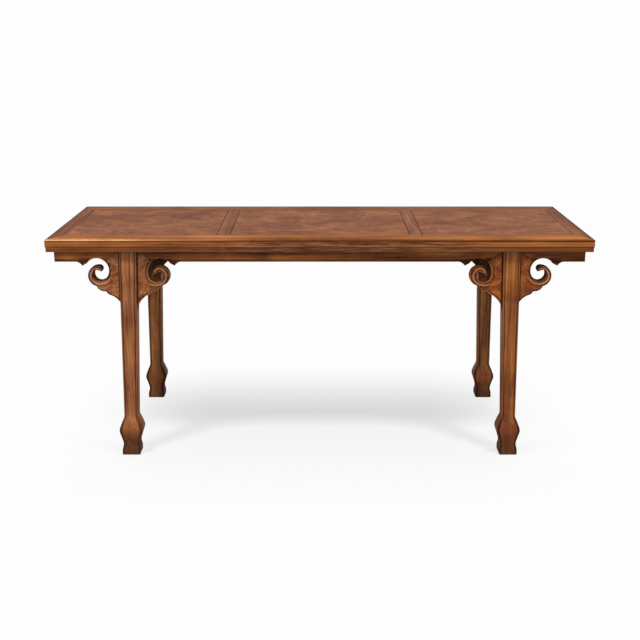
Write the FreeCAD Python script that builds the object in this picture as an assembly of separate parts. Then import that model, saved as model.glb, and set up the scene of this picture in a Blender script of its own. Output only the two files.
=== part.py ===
import FreeCAD, Part
import math
import os

# A long altar table in the old Chinese manner: a mitred and panelled top on four leaning legs.
# Each leg is forked over an apron, and carved scroll spandrels fill the corners beside it.
# X runs along the table, Y from front to back, Z up. The origin is on the floor, under the middle.
# Millimetres.

# overall sizes
table_length = 2000.0
table_depth = 690.0
table_height = 848.0
top_thickness = 46.5

# frame of the top
rail_width = 92.0
end_rail_width = 56.0
mitre_nose = 8.0
divider_width = 49.0
divider_offset = 358.0
divider_thickness = 32.0

# moulded edge of the top, from the arris down
arris_radius = 5.5
quirk_height = 2.0
quirk_depth = 1.8
fascia_height = 19.0
fascia_inset = 0.6
step_height = 1.8
band_inset = 2.4
band_radius = 3.0

# floating panels and their grooves
panel_thickness = 18.0
panel_gap = 0.3
tongue_length = 8.0
tongue_thickness = 6.0
tongue_above_panel_back = 4.0
groove_spare = 2.0
joint_line_width = 2.4

# battens under the panels
batten_width = 36.0
batten_neck_width = 26.0
dovetail_depth = 3.5
batten_tenon_width = 24.0
batten_tenon_length = 16.0

# joints of the frame
tenon_thickness = 12.0
tenon_above_underside = 8.0
divider_tenon_length = 25.0
divider_tenon_width = 33.0
corner_tenon_width = 40.0
corner_tenon_cover = 15.0
peg_diameter = 8.0
peg_length = 28.0
fit = 0.1

# legs: how far in from the top's edges they join it, how far they splay, and their section
leg_end_inset = 295.0
leg_side_inset = 57.0
leg_end_splay = 23.0
leg_side_splay = 21.0
leg_width_top = 64.0
leg_width_ankle = 52.0
leg_width_bulge = 87.0
leg_width_waist = 60.0
leg_width_base = 68.0
leg_depth_top = 64.0
leg_depth_ankle = 51.0
leg_depth_bulge = 73.0
leg_depth_waist = 58.0
leg_depth_base = 67.0
ankle_height = 158.0
bulge_height = 101.0
waist_height = 44.0
base_height = 18.0
base_chamfer = 3.0
shoulder_height_share = 0.53
shoulder_width_share = 0.5
heel_height_share = 0.46
heel_width_share = 0.44

# thread moulding along the corners of the legs
bead_width = 5.0
bead_groove_width = 1.8
bead_groove_depth = 1.5

# twin tenons on the forked head of a leg
head_tenon_width = 36.0
head_tenon_thickness = 9.0
head_tenon_height = 20.0

# aprons
apron_thickness = 30.0
apron_height = 45.5
apron_end_inset = 20.5
apron_tongue_thickness = 8.0
apron_tongue_height = 6.0
apron_tongue_end_inset = 30.0
end_board_thickness = 20.0
end_board_inset = 12.0
end_board_housing = 6.0

# scroll spandrels: the flat beside the leg, and the radius of the scroll's sweep
outer_web = 43.0
inner_web = 39.0
sweep_radius = 44.5
spandrel_tongue_thickness = 10.0
spandrel_tongue_length = 8.0
spandrel_tongue_setback = 6.0

# places on the scrolls, as shares of their sweep radius from the sweep's centre, out and down
# each step of the free edge is an arc: its middle and its end
outer_scroll_shares = [
    ((-1.0, 0.0), (-0.643, 0.766)),  # sweep
    ((-0.236, 0.912), (0.215, 0.110)),  # eye
    ((0.115, -0.010), (-0.011, 0.029)),  # throat
    ((-0.202, 0.083), (-0.348, 0.157)),  # under the beak
    ((-0.472, -0.079), (-0.146, -0.382)),  # tip
    ((0.798, 0.506), (0.135, 1.396)),  # curl
    ((-0.146, 1.719), (-0.663, 1.831)),  # first lobe
    ((-0.820, 2.056), (-1.067, 2.169)),  # second lobe
]
inner_scroll_shares = [
    ((-1.090, 0.217), (-0.997, 0.700)),
    ((-0.420, 1.080), (0.120, 0.300)),
    ((0.020, 0.165), (-0.130, 0.170)),
    ((-0.385, 0.300), (-0.700, 0.520)),
    ((-0.600, 0.020), (-0.110, -0.378)),
    ((0.765, 0.506), (-0.020, 1.370)),
    ((-0.250, 1.660), (-0.750, 1.800)),
    ((-0.920, 2.010), (-1.130, 2.130)),
]
outer_cove_middle_shares = (-1.517, 2.461)
inner_cove_middle_shares = (-1.550, 2.450)
outer_cove_foot_share = 2.95
inner_cove_foot_share = 3.25
cusp_foot_shares = (0.819, -0.573)
cusp_tip_shares = (1.200, -0.370)
cusp_middle_share = 1.4
cusp_shoulder_share = 1.65
cusp_sag_share = 0.37

# how far a cutting shape runs past what it cuts
overrun = 5.0

# worked out from the sizes above
half_length = table_length / 2
half_depth = table_depth / 2
underside = table_height - top_thickness
panel_back = table_height - panel_thickness
groove_floor = panel_back + tongue_above_panel_back
groove_depth = tongue_length + groove_spare
rail_inner = half_depth - rail_width
end_rail_inner = half_length - end_rail_width
tenon_floor = underside + tenon_above_underside
leg_x_top = half_length - leg_end_inset
leg_x_floor = leg_x_top + leg_end_splay
leg_y_top = half_depth - leg_side_inset
leg_y_floor = leg_y_top + leg_side_splay
apron_front = leg_y_top + apron_thickness / 2
apron_back = leg_y_top - apron_thickness / 2
sweep_share = math.cos(math.radians(45))
mitre_foot_shares = (-sweep_share, -sweep_share)

origin = FreeCAD.Vector(0, 0, 0)
along_x = FreeCAD.Vector(1, 0, 0)
along_y = FreeCAD.Vector(0, 1, 0)
along_z = FreeCAD.Vector(0, 0, 1)


def block(x0, x1, y0, y1, z0, z1):
    low = FreeCAD.Vector(min(x0, x1), min(y0, y1), min(z0, z1))
    return Part.makeBox(abs(x1 - x0), abs(y1 - y0), abs(z1 - z0), low)


def prism(points, direction):
    return Part.Face(Part.makePolygon(points + points[:1])).extrude(direction)


def edge_path(places, to_vector):
    # places is a list of (end,) for a line and (middle, end) for an arc, after a first bare start
    edges = []
    last = places[0]
    for step in places[1:]:
        if len(step) == 1:
            edges.append(Part.LineSegment(to_vector(last), to_vector(step[0])).toShape())
        else:
            edges.append(Part.Arc(to_vector(last), to_vector(step[0]), to_vector(step[1])).toShape())
        last = step[-1]
    return edges


def mirrored(shape, normal):
    return shape.mirror(origin, normal)


# The moulded edge, as places (inset from the outer face, height over the underside).
def moulding_places():
    arris_foot = top_thickness - arris_radius
    quirk_foot = arris_foot - quirk_height
    fascia_foot = quirk_foot - fascia_height
    turn = 1 - sweep_share
    return [
        (arris_radius, top_thickness),
        ((arris_radius * turn, top_thickness - arris_radius * turn), (0, arris_foot)),
        ((quirk_depth, arris_foot),),
        ((quirk_depth, quirk_foot),),
        ((fascia_inset, quirk_foot),),
        ((fascia_inset, fascia_foot),),
        ((band_inset, fascia_foot - step_height),),
        ((band_inset, band_radius),),
        ((band_inset + band_radius * turn, band_radius * turn), (band_inset + band_radius, 0)),
    ]


# A straight bar with the moulding on its outer side.
def moulded_bar(outer, width, to_vector, run):
    places = moulding_places()
    places += [((width, 0),), ((width, top_thickness),), (places[0],)]
    edges = edge_path(places, lambda p: to_vector(outer - p[0], underside + p[1]))
    return Part.Face(Part.Wire(edges)).extrude(run)


def mitred_footprint(points):
    floor = [FreeCAD.Vector(x, y, underside - overrun) for x, y in points]
    return prism(floor, along_z * (top_thickness + 2 * overrun))


# The mitre runs at 45 degrees across the moulding, and from there straight to the inner corner.
def mitre_corners():
    outer = (half_length + overrun, half_depth + overrun)
    nose = (half_length - mitre_nose, half_depth - mitre_nose)
    return outer, nose, (end_rail_inner, rail_inner)


# A fine V is planed along each joint of the top, half of it in either piece.
def joint_line(x0, y0, x1, y1):
    half = joint_line_width / 2
    run = FreeCAD.Vector(x1 - x0, y1 - y0, 0)
    past = FreeCAD.Vector(run).normalize() * half
    across = past.cross(along_z)
    start = FreeCAD.Vector(x0, y0, table_height) - past
    points = [start + across, start - across, start - along_z * half]
    return prism(points, run + 2 * past)


def panel_bays():
    inner = divider_offset - divider_width / 2
    outer = divider_offset + divider_width / 2
    return {
        "left_panel": (-end_rail_inner, -outer),
        "middle_panel": (-inner, inner),
        "right_panel": (outer, end_rail_inner),
    }


def all_joint_lines():
    lines = [joint_line(-end_rail_inner, y, end_rail_inner, y) for y in (-rail_inner, rail_inner)]
    for bay in panel_bays().values():
        lines += [joint_line(x, -rail_inner, x, rail_inner) for x in bay]
    return lines


def batten_places():
    return {
        "left_batten": sum(panel_bays()["left_panel"]) / 2,
        "middle_batten": sum(panel_bays()["middle_panel"]) / 2,
        "right_batten": sum(panel_bays()["right_panel"]) / 2,
    }


def panel_groove(x0, x1, y0, y1):
    return block(x0, x1, y0, y1, groove_floor, groove_floor + tongue_thickness + fit)


def long_rail():
    start = -half_length - overrun
    bar = moulded_bar(half_depth, rail_width, lambda h, z: FreeCAD.Vector(start, -h, z), -2 * start * along_x)
    points = [(x, -y) for x, y in mitre_corners()]
    points += [(-x, y) for x, y in reversed(points)]
    rail = bar.common(mitred_footprint(points))
    rail = rail.fuse([corner_tenon(side) for side in (-1, 1)])
    reach = end_rail_inner + groove_depth
    cuts = [panel_groove(-reach, reach, -rail_inner - groove_depth, -rail_inner)]
    cuts += [divider_tenon(x, fit) for x in (-divider_offset, divider_offset)]
    cuts += [batten_tenon(x, fit) for x in batten_places().values()]
    cuts += head_tenons(1, fit) + head_tenons(-1, fit)
    cuts += apron_tongues(fit)
    cuts += [peg(side, 0) for side in (-1, 1)]
    cuts += all_joint_lines()
    return rail.cut(cuts)


# The tenon that a long rail sends into an end rail, inside the mitre.
def corner_tenon(side, spare=0):
    middle = half_depth - rail_width / 2
    y0 = -middle - corner_tenon_width / 2 - spare
    y1 = -middle + corner_tenon_width / 2 + spare
    start = end_rail_inner - corner_tenon_cover
    end = half_length - corner_tenon_cover + spare
    return block(side * start, side * end, y0, y1, tenon_floor - spare, tenon_floor + tenon_thickness + spare)


def end_rail():
    start = -half_depth - overrun
    bar = moulded_bar(half_length, end_rail_width, lambda h, z: FreeCAD.Vector(h, start, z), -2 * start * along_y)
    points = list(mitre_corners())
    points += [(x, -y) for x, y in reversed(points)]
    rail = bar.common(mitred_footprint(points))
    front_tenon = corner_tenon(1, fit)
    cuts = [front_tenon, mirrored(front_tenon, along_y)]
    reach = rail_inner + groove_depth
    cuts.append(panel_groove(end_rail_inner, end_rail_inner + groove_depth, -reach, reach))
    cuts += [peg(1, 0), mirrored(peg(1, 0), along_y)]
    cuts += all_joint_lines()
    return rail.cut(cuts)


# A blind peg from below locks each corner tenon.
def peg(side, shorter):
    middle = half_depth - rail_width / 2
    reach = half_length - corner_tenon_cover - peg_diameter
    base = FreeCAD.Vector(side * reach, -middle, underside)
    return Part.makeCylinder(peg_diameter / 2, peg_length - shorter, base, along_z)


def corner_pegs():
    pegs = [peg(side, fit) for side in (-1, 1)]
    pegs += [mirrored(one, along_y) for one in list(pegs)]
    return Part.makeCompound(pegs)


def divider_tenon(x, spare=0):
    half = divider_tenon_width / 2 + spare
    z0 = table_height - divider_thickness
    return block(x - half, x + half, -rail_inner - divider_tenon_length - spare, -rail_inner + overrun,
                 z0 - spare, z0 + tenon_thickness + spare)


def divider(x):
    half = divider_width / 2
    body = block(x - half, x + half, -rail_inner, rail_inner, table_height - divider_thickness, table_height)
    front = divider_tenon(x)
    body = body.fuse([front, mirrored(front, along_y)])
    cuts = [panel_groove(x - half, x - half + groove_depth, -rail_inner, rail_inner),
            panel_groove(x + half - groove_depth, x + half, -rail_inner, rail_inner)]
    return body.cut(cuts + all_joint_lines())


def panel(x0, x1):
    body = block(x0 + panel_gap, x1 - panel_gap, panel_gap - rail_inner, rail_inner - panel_gap,
                 panel_back, table_height)
    tongue = block(x0 - tongue_length, x1 + tongue_length, -rail_inner - tongue_length,
                   rail_inner + tongue_length, groove_floor, groove_floor + tongue_thickness)
    middle = (x0 + x1) / 2
    return body.fuse(tongue).cut([batten_dovetail(middle, fit)] + all_joint_lines())


def batten_dovetail(x, spare=0):
    wide = batten_width / 2 + spare
    neck = batten_neck_width / 2 + spare
    run = along_y * (2 * rail_inner)
    points = [FreeCAD.Vector(x - neck, -rail_inner, panel_back),
              FreeCAD.Vector(x + neck, -rail_inner, panel_back),
              FreeCAD.Vector(x + wide - dovetail_depth, -rail_inner, panel_back + dovetail_depth),
              FreeCAD.Vector(x - wide + dovetail_depth, -rail_inner, panel_back + dovetail_depth)]
    return prism(points, run)


def batten_tenon(x, spare=0):
    half = batten_tenon_width / 2 + spare
    return block(x - half, x + half, -rail_inner - batten_tenon_length - spare, -rail_inner + overrun,
                 tenon_floor - spare, tenon_floor + tenon_thickness + spare)


def batten(x):
    half = batten_width / 2
    body = block(x - half, x + half, -rail_inner, rail_inner, underside, panel_back)
    front = batten_tenon(x)
    return body.fuse([batten_dovetail(x), front, mirrored(front, along_y)])


# A leg stands at the right front. Its middle line leans outwards on its way down.
def leg_middle(top, floor, height):
    return floor + (top - floor) * height / underside


def straight_half(width_top, width_ankle, height):
    share = (height - ankle_height) / (underside - ankle_height)
    return (width_ankle + (width_top - width_ankle) * share) / 2


# One view of a leg, drawn in its own outline, with its sides moved in by inset.
def leg_view(top, floor, widths, inset, to_vector):
    width_top, width_ankle, width_bulge, width_waist, width_base = widths

    def place(side, width, height):
        return to_vector(leg_middle(top, floor, height) + side * (width / 2 - inset), height)

    shoulder = width_ankle + (width_bulge - width_ankle) * shoulder_width_share
    shoulder_height = bulge_height + (ankle_height - bulge_height) * shoulder_height_share
    heel = width_waist + (width_bulge - width_waist) * heel_width_share
    heel_height = waist_height + (bulge_height - waist_height) * heel_height_share
    edges = []
    for side in (-1, 1):
        head = place(side, width_top, underside)
        ankle = place(side, width_ankle, ankle_height)
        base = place(side, width_base, base_height)
        curve = Part.BSplineCurve()
        points = [ankle, place(side, shoulder, shoulder_height), place(side, width_bulge, bulge_height),
                  place(side, heel, heel_height), place(side, width_waist, waist_height), base]
        curve.interpolate(Points=points, InitialTangent=(ankle - head).normalize(), FinalTangent=-along_z)
        chamfer = place(side, width_base, base_chamfer)
        floor_corner = place(side, width_base - 2 * base_chamfer, 0)
        edges += [Part.LineSegment(head, ankle).toShape(), curve.toShape(),
                  Part.LineSegment(base, chamfer).toShape(),
                  Part.LineSegment(chamfer, floor_corner).toShape()]
    for width, height in ((width_top, underside), (width_base - 2 * base_chamfer, 0)):
        edges.append(Part.LineSegment(place(-1, width, height), place(1, width, height)).toShape())
    return Part.Face(Part.Wire(Part.__sortEdges__(edges)))


def front_view(inset=0):
    widths = (leg_width_top, leg_width_ankle, leg_width_bulge, leg_width_waist, leg_width_base)
    back = -leg_y_floor - leg_depth_bulge
    view = leg_view(leg_x_top, leg_x_floor, widths, inset, lambda h, z: FreeCAD.Vector(h, back, z))
    return view.extrude(along_y * (2 * leg_depth_bulge + leg_y_floor - leg_y_top))


def side_view(inset=0):
    widths = (leg_depth_top, leg_depth_ankle, leg_depth_bulge, leg_depth_waist, leg_depth_base)
    left = leg_x_top - leg_width_bulge
    view = leg_view(-leg_y_top, -leg_y_floor, widths, inset, lambda h, z: FreeCAD.Vector(left, h, z))
    return view.extrude(along_x * (2 * leg_width_bulge + leg_x_floor - leg_x_top))


# The fine grooves that leave a bead along each corner of a leg.
def bead_grooves():
    inner = bead_width + bead_groove_width
    faces_front = front_view(bead_width).cut(front_view(inner))
    faces_side = side_view(bead_width).cut(side_view(inner))
    skin_side = side_view(-overrun).cut(side_view(bead_groove_depth))
    skin_front = front_view(-overrun).cut(front_view(bead_groove_depth))
    return [faces_front.common(skin_side), faces_side.common(skin_front)]


# The two tenons on a leg's forked head, one on each cheek.
def head_tenons(side, spare=0):
    lean = leg_middle(leg_y_top, leg_y_floor, underside)
    half_leg = leg_depth_top / 2
    front_cheek = (apron_front + lean + half_leg) / 2
    back_cheek = (apron_back + lean - half_leg) / 2
    wide = head_tenon_width / 2 + spare
    thick = head_tenon_thickness / 2 + spare
    tenons = []
    for y in (front_cheek, back_cheek):
        tenons.append(block(side * leg_x_top - wide, side * leg_x_top + wide, -y - thick, -y + thick,
                            underside, underside + head_tenon_height + spare))
    return tenons


def leg():
    body = front_view().common(side_view()).cut(bead_grooves())
    wide = leg_width_top
    slot = block(leg_x_top - wide, leg_x_top + wide, -apron_front - fit, -apron_back + fit,
                 underside - apron_height - fit, underside + overrun)
    grooves = [spandrel_tongue(outward, fit) for outward in (1, -1)]
    return body.cut([slot] + grooves).fuse(head_tenons(1))


# Places beside a leg are (out from its middle at the top, down from the underside of the top).
def beside_leg(outward, y):
    return lambda p: FreeCAD.Vector(leg_x_top + outward * p[0], y, underside - p[1])


def leg_side(outward, drop):
    height = underside - drop
    lean = leg_middle(leg_x_top, leg_x_floor, height) - leg_x_top
    return outward * lean + straight_half(leg_width_top, leg_width_ankle, height)


def scroll_place(outward, shares):
    web = outer_web if outward > 0 else inner_web
    centre_out = leg_width_top / 2 + web + sweep_radius
    centre_down = apron_height + sweep_radius * sweep_share
    return centre_out + sweep_radius * shares[0], centre_down + sweep_radius * shares[1]


def spandrel_foot_drop(outward):
    share = outer_cove_foot_share if outward > 0 else inner_cove_foot_share
    return scroll_place(outward, (0, share))[1]


def spandrel_outline(outward):
    def at(shares):
        return scroll_place(outward, shares)

    scroll_shares = outer_scroll_shares if outward > 0 else inner_scroll_shares
    cove_middle = outer_cove_middle_shares if outward > 0 else inner_cove_middle_shares
    foot_drop = spandrel_foot_drop(outward)
    head = (leg_side(outward, apron_height), apron_height)
    scroll = [(at(middle), at(end)) for middle, end in scroll_shares]
    cove = (at(cove_middle), (leg_side(outward, foot_drop), foot_drop))
    return [head, (at(mitre_foot_shares),)] + scroll + [cove, (head,)]


# The tongue along a spandrel's edge, which a groove down the leg's side takes.
def spandrel_tongue(outward, spare=0):
    foot_drop = spandrel_foot_drop(outward)
    high = apron_height + spandrel_tongue_setback - spare
    low = foot_drop - spandrel_tongue_setback + spare
    deep = spandrel_tongue_length + spare
    y = -leg_y_top - spandrel_tongue_thickness / 2 - spare
    points = [(leg_side(outward, high) + spare, high), (leg_side(outward, low) + spare, low),
              (leg_side(outward, low) - deep, low), (leg_side(outward, high) - deep, high)]
    return prism([beside_leg(outward, y)(p) for p in points],
                 along_y * (spandrel_tongue_thickness + 2 * spare))


# The front half of a spandrel runs up beside the leg to a mitre, in front of the apron.
def mitre_ear(outward):
    points = [(leg_side(outward, 0), 0), scroll_place(outward, mitre_foot_shares),
              (leg_side(outward, apron_height), apron_height)]
    return prism([beside_leg(outward, -apron_front)(p) for p in points], along_y * (apron_thickness / 2))


def spandrel(outward):
    edges = edge_path(spandrel_outline(outward), beside_leg(outward, -apron_front))
    board = Part.Face(Part.Wire(edges)).extrude(along_y * apron_thickness)
    return board.fuse([mitre_ear(outward), spandrel_tongue(outward)])


# The lower edge of an apron on one side of a leg, from the mitre out to past the cusp.
def apron_edge(outward):
    def at(shares):
        return scroll_place(outward, shares)

    tip = at(cusp_tip_shares)
    sag = apron_height + (tip[1] - apron_height) * cusp_sag_share
    middle = (at((cusp_middle_share, 0))[0], sag)
    shoulder = (at((cusp_shoulder_share, 0))[0], apron_height)
    places = [at(mitre_foot_shares), (at((0, -1)), at(cusp_foot_shares)), (tip,), (middle, shoulder)]
    return edge_path(places, beside_leg(outward, -apron_front))


def apron_half():
    right = half_length - apron_end_inset
    outer = apron_edge(1)
    inner = apron_edge(-1)
    low = underside - apron_height
    outer_end = outer[-1].valueAt(outer[-1].LastParameter)
    inner_end = inner[-1].valueAt(inner[-1].LastParameter)
    corners = [outer_end, FreeCAD.Vector(right, -apron_front, low), FreeCAD.Vector(right, -apron_front, underside),
               FreeCAD.Vector(0, -apron_front, underside), FreeCAD.Vector(0, -apron_front, low), inner_end]
    lines = [Part.LineSegment(a, b).toShape() for a, b in zip(corners, corners[1:])]
    outer_start = outer[0].valueAt(outer[0].FirstParameter)
    inner_start = inner[0].valueAt(inner[0].FirstParameter)
    lines.append(Part.LineSegment(outer_start, inner_start).toShape())
    outline = Part.Wire(Part.__sortEdges__(outer + inner + lines))
    return Part.Face(outline).extrude(along_y * apron_thickness)


# The tongue along an apron's upper edge, left out where the forked legs take the apron.
def apron_tongues(spare=0):
    half = apron_tongue_thickness / 2 + spare
    reach = half_length - apron_end_inset - apron_tongue_end_inset
    inner = leg_x_top - leg_width_top
    outer = leg_x_top + leg_width_top
    runs = [(-reach, -outer), (-inner, inner), (outer, reach)]
    return [block(x0 - spare, x1 + spare, -leg_y_top - half, -leg_y_top + half, underside - spare,
                  underside + apron_tongue_height + spare) for x0, x1 in runs]


def apron():
    half = apron_half()
    board = half.fuse(mirrored(half, along_x)).removeSplitter()
    ears = [mitre_ear(1), mitre_ear(-1)]
    ears += [mirrored(ear, along_x) for ear in list(ears)]
    housings = [end_board(fit), mirrored(end_board(fit), along_x)]
    return board.fuse(apron_tongues()).cut(ears + housings)


def end_board(spare=0):
    outer = half_length - apron_end_inset - end_board_inset
    inner = outer - end_board_thickness
    reach = apron_back + end_board_housing
    return block(inner - spare, outer + spare, -reach - spare, reach + spare,
                 underside - apron_height - spare, underside + spare)


def all_parts():
    parts = {"front_rail": long_rail(), "right_end_rail": end_rail()}
    parts["back_rail"] = mirrored(parts["front_rail"], along_y)
    parts["left_end_rail"] = mirrored(parts["right_end_rail"], along_x)
    parts["left_divider"] = divider(-divider_offset)
    parts["right_divider"] = divider(divider_offset)
    for name, (x0, x1) in panel_bays().items():
        parts[name] = panel(x0, x1)
    for name, x in batten_places().items():
        parts[name] = batten(x)
    parts["corner_pegs"] = corner_pegs()
    parts["front_apron"] = apron()
    parts["back_apron"] = mirrored(parts["front_apron"], along_y)
    parts["right_end_board"] = end_board()
    parts["left_end_board"] = mirrored(parts["right_end_board"], along_x)
    corner_pieces = {"leg": leg(), "outer_spandrel": spandrel(1), "inner_spandrel": spandrel(-1)}
    for name, shape in corner_pieces.items():
        parts["front_right_" + name] = shape
        parts["front_left_" + name] = mirrored(shape, along_x)
        parts["back_right_" + name] = mirrored(shape, along_y)
        parts["back_left_" + name] = mirrored(mirrored(shape, along_x), along_y)
    return parts


os.makedirs("parts", exist_ok=True)
for node, shape in all_parts().items():
    print(node, len(shape.Solids), shape.isValid(), round(shape.Volume / 1000), "cm3")
    shape.exportStep(os.path.join("parts", node + ".step"))
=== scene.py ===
import bpy
import bmesh
import math
from mathutils import Matrix, Vector, noise
from mathutils.kdtree import KDTree


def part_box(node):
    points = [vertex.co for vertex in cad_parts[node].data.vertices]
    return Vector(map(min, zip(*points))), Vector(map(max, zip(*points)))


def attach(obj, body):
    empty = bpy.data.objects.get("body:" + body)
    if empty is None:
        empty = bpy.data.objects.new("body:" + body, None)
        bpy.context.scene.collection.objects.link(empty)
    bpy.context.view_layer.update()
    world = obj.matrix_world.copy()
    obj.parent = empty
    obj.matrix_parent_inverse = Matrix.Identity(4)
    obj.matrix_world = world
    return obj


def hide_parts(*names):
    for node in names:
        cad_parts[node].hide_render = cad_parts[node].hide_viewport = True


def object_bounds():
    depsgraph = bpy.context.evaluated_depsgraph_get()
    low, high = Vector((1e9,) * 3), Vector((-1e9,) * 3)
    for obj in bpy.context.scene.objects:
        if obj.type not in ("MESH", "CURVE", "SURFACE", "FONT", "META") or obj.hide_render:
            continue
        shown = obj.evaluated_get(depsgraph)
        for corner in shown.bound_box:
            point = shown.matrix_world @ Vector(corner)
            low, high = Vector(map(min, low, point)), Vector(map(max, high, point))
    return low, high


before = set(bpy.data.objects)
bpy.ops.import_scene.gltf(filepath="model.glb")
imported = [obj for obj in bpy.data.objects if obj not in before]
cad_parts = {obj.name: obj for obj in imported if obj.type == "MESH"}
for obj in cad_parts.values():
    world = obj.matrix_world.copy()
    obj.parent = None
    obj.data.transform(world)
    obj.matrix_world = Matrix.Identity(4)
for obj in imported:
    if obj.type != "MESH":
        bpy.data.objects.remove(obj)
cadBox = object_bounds()

# Metres. X runs along the table, Y from front to back, Z up, and the floor is at zero.
halfLength = cadBox[1].x
halfDepth = cadBox[1].y
tableHeight = cadBox[1].z
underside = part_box("front_rail")[0].z
railInner = -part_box("front_rail")[1].y
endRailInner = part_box("right_end_rail")[0].x
topThickness = tableHeight - underside
hair = 0.0001  # slack when places are compared


def newObject(name, data):
    holder = bpy.data.objects.new(name, data)
    bpy.context.scene.collection.objects.link(holder)
    return holder


# photo view

view = {
    "place": (0.001, -3.90, 1.605),
    "tiltDown": 16.6,
    "lens": 56.25,
    "sensor": 36,
}


def makeCamera():
    camera = bpy.data.cameras.new("photoCamera")
    camera.lens = view["lens"]
    camera.sensor_width = view["sensor"]
    holder = newObject("photoCamera", camera)
    holder.location = view["place"]
    holder.rotation_euler = (math.radians(90 - view["tiltDown"]), 0, 0)
    bpy.context.scene.camera = holder
    bpy.context.scene.view_settings.view_transform = "Standard"


# flat outlines, drawn in their own plane and then stood up where they belong

def vertsOf(geom):
    return [g for g in geom if isinstance(g, bmesh.types.BMVert)]


def circleCentre(a, b, c):
    turn = 2 * ((b - a).cross(c - a))
    ab = (b - a).length_squared
    ac = (c - a).length_squared
    across = Vector(((c - a).y * ab - (b - a).y * ac, (b - a).x * ac - (c - a).x * ab))
    return a + across / turn


def arcTurn(centre, a, b, c):
    start = math.atan2(a.y - centre.y, a.x - centre.x)
    end = math.atan2(c.y - centre.y, c.x - centre.x)
    turn = (end - start) % math.tau
    if (b - a).cross(c - b) < 0:
        turn -= math.tau  # the arc runs clockwise
    return turn


def isArc(step):
    return isinstance(step[0], (tuple, Vector))


def drawPath(bm, places, chord=0.002):
    # each place after the first is the end of a line, or the (middle, end) of an arc
    last = bm.verts.new((*places[0], 0))
    for step in places[1:]:
        if isArc(step):
            a, b, c = last.co.xy, Vector(step[0]), Vector(step[1])
            centre = circleCentre(a, b, c)
            turn = arcTurn(centre, a, b, c)
            steps = max(3, math.ceil(abs(turn) * (a - centre).length / chord))
            spun = bmesh.ops.spin(bm, geom=[last], cent=(*centre, 0), axis=(0, 0, 1), angle=turn, steps=steps)
            last = vertsOf(spun["geom_last"])[0]
        else:
            last = bmesh.ops.extrude_vert_indiv(bm, verts=[last])["verts"][0]
            last.co = (*step, 0)


def drawFace(places, chord=0.002):
    bm = bmesh.new()
    drawPath(bm, places, chord)
    bmesh.ops.remove_doubles(bm, verts=bm.verts, dist=0.00002)
    bmesh.ops.contextual_create(bm, geom=bm.edges[:])
    return bm


def reversedPath(places):
    ends = [step[1] if isArc(step) else step for step in places]
    back = [(step[0], end) if isArc(step) else end for step, end in zip(places[1:], ends)]
    return [ends[-1]] + back[::-1]


def thicken(bm, along):
    region = bmesh.ops.extrude_face_region(bm, geom=bm.faces[:])["geom"]
    bmesh.ops.translate(bm, verts=vertsOf(region), vec=along)
    bmesh.ops.recalc_face_normals(bm, faces=bm.faces)


def standUp(bm, right, up, corner):
    across = Vector(right).cross(up)
    turned = Matrix((right, up, across)).transposed().to_4x4()
    bm.transform(Matrix.Translation(corner) @ turned)


def soften(bm, edges, offset, segments):
    bmesh.ops.bevel(bm, geom=edges, offset=offset, segments=segments, profile=0.5,
                    affect="EDGES", clamp_overlap=False, material=-1)


def cutAcross(bm, place, normal):
    # adds edges where the plane crosses the mesh, and takes nothing away
    bmesh.ops.bisect_plane(bm, geom=bm.verts[:] + bm.edges[:] + bm.faces[:], plane_co=place, plane_no=normal)


# what every finished piece goes through

def meshFrom(bm, name):
    mesh = bpy.data.meshes.new(name)
    bm.to_mesh(mesh)
    bm.free()
    return mesh


def addTo(bm, extra):
    mesh = meshFrom(extra, "extra")
    bm.from_mesh(mesh)
    bpy.data.meshes.remove(mesh)


def modified(mesh, kind, **settings):
    piece = newObject("blank", mesh)
    modifier = piece.modifiers.new("change", kind)
    for name, value in settings.items():
        setattr(modifier, name, value)
    bpy.context.view_layer.update()
    made = bpy.data.meshes.new_from_object(piece.evaluated_get(bpy.context.evaluated_depsgraph_get()))
    bpy.data.objects.remove(piece)
    return made


def cutAway(mesh, cutterMesh):
    cutter = newObject("cutter", cutterMesh)
    made = modified(mesh, "BOOLEAN", object=cutter, operation="DIFFERENCE", solver="EXACT")
    bpy.data.objects.remove(cutter)
    return made


def paint(mesh, name, values):
    mesh.attributes.new(name, "FLOAT", "POINT").data.foreach_set("value", values)


def paintBy(mesh, name, amount):
    paint(mesh, name, [amount(v.co) for v in mesh.vertices])


def finishPiece(name, mesh, finish, slot, *replaced, creaseAngle=32):
    mesh.name = name
    mesh.materials.clear()
    mesh.materials.append(finish)
    mesh.shade_smooth()
    mesh.set_sharp_from_angle(angle=math.radians(creaseAngle))
    piece = newObject(name, mesh)
    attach(piece, "root")
    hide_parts(*replaced)


def mirroredMesh(mesh, sideX, sideY):
    other = mesh.copy()
    other.transform(Matrix.Diagonal((sideX, sideY, 1, 1)))
    if sideX * sideY < 0:
        other.flip_normals()
    return other


# Marks of glaze and painted shade, and of wear and painted highlight, are (share, low, high): the share comes in, or
# fades out, from low to high.

def smoothStep(low, high, value):
    part = min(1, max(0, (value - low) / (high - low)))
    return part * part * (3 - 2 * part)


def rise(mark, value):
    share, low, high = mark
    return share * smoothStep(low, high, value)


def fall(mark, value):
    share, low, high = mark
    return share * (1 - smoothStep(low, high, value))


def mixed(shares, value):
    least, more = shares
    return least + more * value


def unevenness(*place):
    return 0.5 + 0.5 * noise.noise(Vector(place))


# colours are written as they look, 0 to 255

def tint(red, green, blue):
    return [(c / 255 / 12.92) if c < 11 else ((c / 255 + 0.055) / 1.055) ** 2.4 for c in (red, green, blue)] + [1]


# wood finishes

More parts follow.
